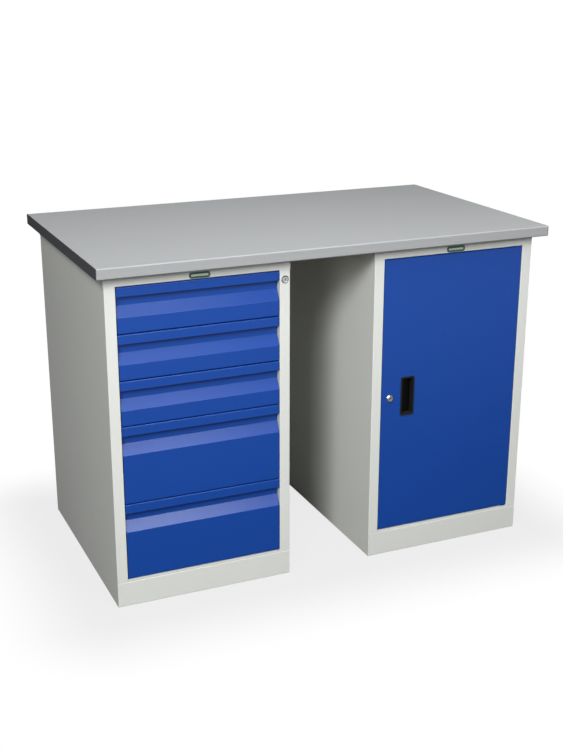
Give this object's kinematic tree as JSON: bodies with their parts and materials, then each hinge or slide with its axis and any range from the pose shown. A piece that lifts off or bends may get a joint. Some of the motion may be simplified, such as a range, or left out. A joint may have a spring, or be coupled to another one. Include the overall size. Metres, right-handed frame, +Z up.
{
  "type": "metalworking workbench",
  "caption": "Steel-clad workbench on a drawer pedestal and a cupboard pedestal, with lockable drawers on telescopic slides and a lockable hinged door over a shelf.",
  "frame": {"origin": "on the floor under the middle of the worktop", "axes": "+X to the right seen from the front, +Y from the front to the back, +Z up"},
  "size_m": [1.2, 0.7, 0.864],
  "materials": {
    "worktop_steel": "satin rolled sheet",
    "worktop_board": "pressed board",
    "end_band": "plain",
    "grey_paint": "powder coat, light grey",
    "blue_paint": "powder coat, blue",
    "zinc_steel": "zinc plated",
    "lock_chrome": "polished",
    "black_plastic": "moulded"
  },
  "bodies": {
    "bench": {"worktop_core": "worktop_board", "worktop_steel_cover": "worktop_steel", "worktop_end_bands": "end_band", "worktop_screws": "zinc_steel", "drawer_pedestal_left_side": "grey_paint", "drawer_pedestal_right_side": "grey_paint", "drawer_pedestal_back": "grey_paint", "drawer_pedestal_floor": "grey_paint", "drawer_pedestal_plinth": "grey_paint", "drawer_pedestal_top": "grey_paint", "drawer_pedestal_runner_posts": "zinc_steel", "drawer_pedestal_cabinet_rails": "zinc_steel", "drawer_lock_barrel": "lock_chrome", "drawer_lock_nut": "zinc_steel", "drawer_lock_guides": "zinc_steel", "cupboard_left_side": "grey_paint", "cupboard_right_side": "grey_paint", "cupboard_back": "grey_paint", "cupboard_floor": "grey_paint", "cupboard_plinth": "grey_paint", "cupboard_top": "grey_paint", "cupboard_shelf": "grey_paint", "cupboard_shelf_clips": "zinc_steel", "door_hinge_pins": "zinc_steel"},
    "drawer_1": {"drawer_1_front": "blue_paint", "drawer_1_tray": "grey_paint", "drawer_1_inner_rails": "zinc_steel"},
    "slide_1": {"drawer_1_middle_rails": "zinc_steel"},
    "drawer_2": {"drawer_2_front": "blue_paint", "drawer_2_tray": "grey_paint", "drawer_2_inner_rails": "zinc_steel"},
    "slide_2": {"drawer_2_middle_rails": "zinc_steel"},
    "drawer_3": {"drawer_3_front": "blue_paint", "drawer_3_tray": "grey_paint", "drawer_3_inner_rails": "zinc_steel"},
    "slide_3": {"drawer_3_middle_rails": "zinc_steel"},
    "drawer_4": {"drawer_4_front": "blue_paint", "drawer_4_tray": "grey_paint", "drawer_4_inner_rails": "zinc_steel"},
    "slide_4": {"drawer_4_middle_rails": "zinc_steel"},
    "drawer_5": {"drawer_5_front": "blue_paint", "drawer_5_tray": "grey_paint", "drawer_5_inner_rails": "zinc_steel"},
    "slide_5": {"drawer_5_middle_rails": "zinc_steel"},
    "door": {"door_panel": "blue_paint", "door_stiffener": "blue_paint", "door_pull": "black_plastic", "door_lock_barrel": "lock_chrome", "door_lock_nut": "zinc_steel", "door_hinge_bushes": "blue_paint"},
    "door_latch": {"door_lock_plug": "lock_chrome", "door_lock_cam": "zinc_steel"},
    "drawer_latch": {"drawer_lock_plug": "lock_chrome", "drawer_lock_crank": "zinc_steel"},
    "lock_bar": {"drawer_lock_bar": "zinc_steel"}
  },
  "joints": [
    {"name": "drawer_1_pull", "type": "slide", "parent": "bench", "child": "drawer_1", "axis": [0, -1, 0], "range_m": [0, 0.54]},
    {"name": "slide_1_travel", "type": "slide", "parent": "bench", "child": "slide_1", "axis": [0, -1, 0], "range_m": [0, 0.27]},
    {"name": "drawer_2_pull", "type": "slide", "parent": "bench", "child": "drawer_2", "axis": [0, -1, 0], "range_m": [0, 0.54]},
    {"name": "slide_2_travel", "type": "slide", "parent": "bench", "child": "slide_2", "axis": [0, -1, 0], "range_m": [0, 0.27]},
    {"name": "drawer_3_pull", "type": "slide", "parent": "bench", "child": "drawer_3", "axis": [0, -1, 0], "range_m": [0, 0.54]},
    {"name": "slide_3_travel", "type": "slide", "parent": "bench", "child": "slide_3", "axis": [0, -1, 0], "range_m": [0, 0.27]},
    {"name": "drawer_4_pull", "type": "slide", "parent": "bench", "child": "drawer_4", "axis": [0, -1, 0], "range_m": [0, 0.54]},
    {"name": "slide_4_travel", "type": "slide", "parent": "bench", "child": "slide_4", "axis": [0, -1, 0], "range_m": [0, 0.27]},
    {"name": "drawer_5_pull", "type": "slide", "parent": "bench", "child": "drawer_5", "axis": [0, -1, 0], "range_m": [0, 0.54]},
    {"name": "slide_5_travel", "type": "slide", "parent": "bench", "child": "slide_5", "axis": [0, -1, 0], "range_m": [0, 0.27]},
    {"name": "door_swing", "type": "hinge", "parent": "bench", "child": "door", "pos_m": [0.5365, -0.31, 0.073], "axis": [0, 0, 1], "range_deg": [0, 110]},
    {"name": "door_lock_turn", "type": "hinge", "parent": "door", "child": "door_latch", "pos_m": [0.1665, -0.316, 0.442], "axis": [0, 1, 0], "range_deg": [0, 90]},
    {"name": "drawer_lock_turn", "type": "hinge", "parent": "bench", "child": "drawer_latch", "pos_m": [-0.1285, -0.316, 0.7868], "axis": [0, 1, 0], "range_deg": [0, 90]},
    {"name": "lock_bar_drop", "type": "slide", "parent": "bench", "child": "lock_bar", "axis": [0, 0, -1], "range_m": [0, 0.00919]}
  ],
  "couplings": [
    {"joint": "slide_1_travel", "follows": "drawer_1_pull", "ratio": 0.5},
    {"joint": "slide_2_travel", "follows": "drawer_2_pull", "ratio": 0.5},
    {"joint": "slide_3_travel", "follows": "drawer_3_pull", "ratio": 0.5},
    {"joint": "slide_4_travel", "follows": "drawer_4_pull", "ratio": 0.5},
    {"joint": "slide_5_travel", "follows": "drawer_5_pull", "ratio": 0.5},
    {"joint": "drawer_lock_turn", "follows": "lock_bar_drop", "rad_per_m": 170.89}
  ]
}
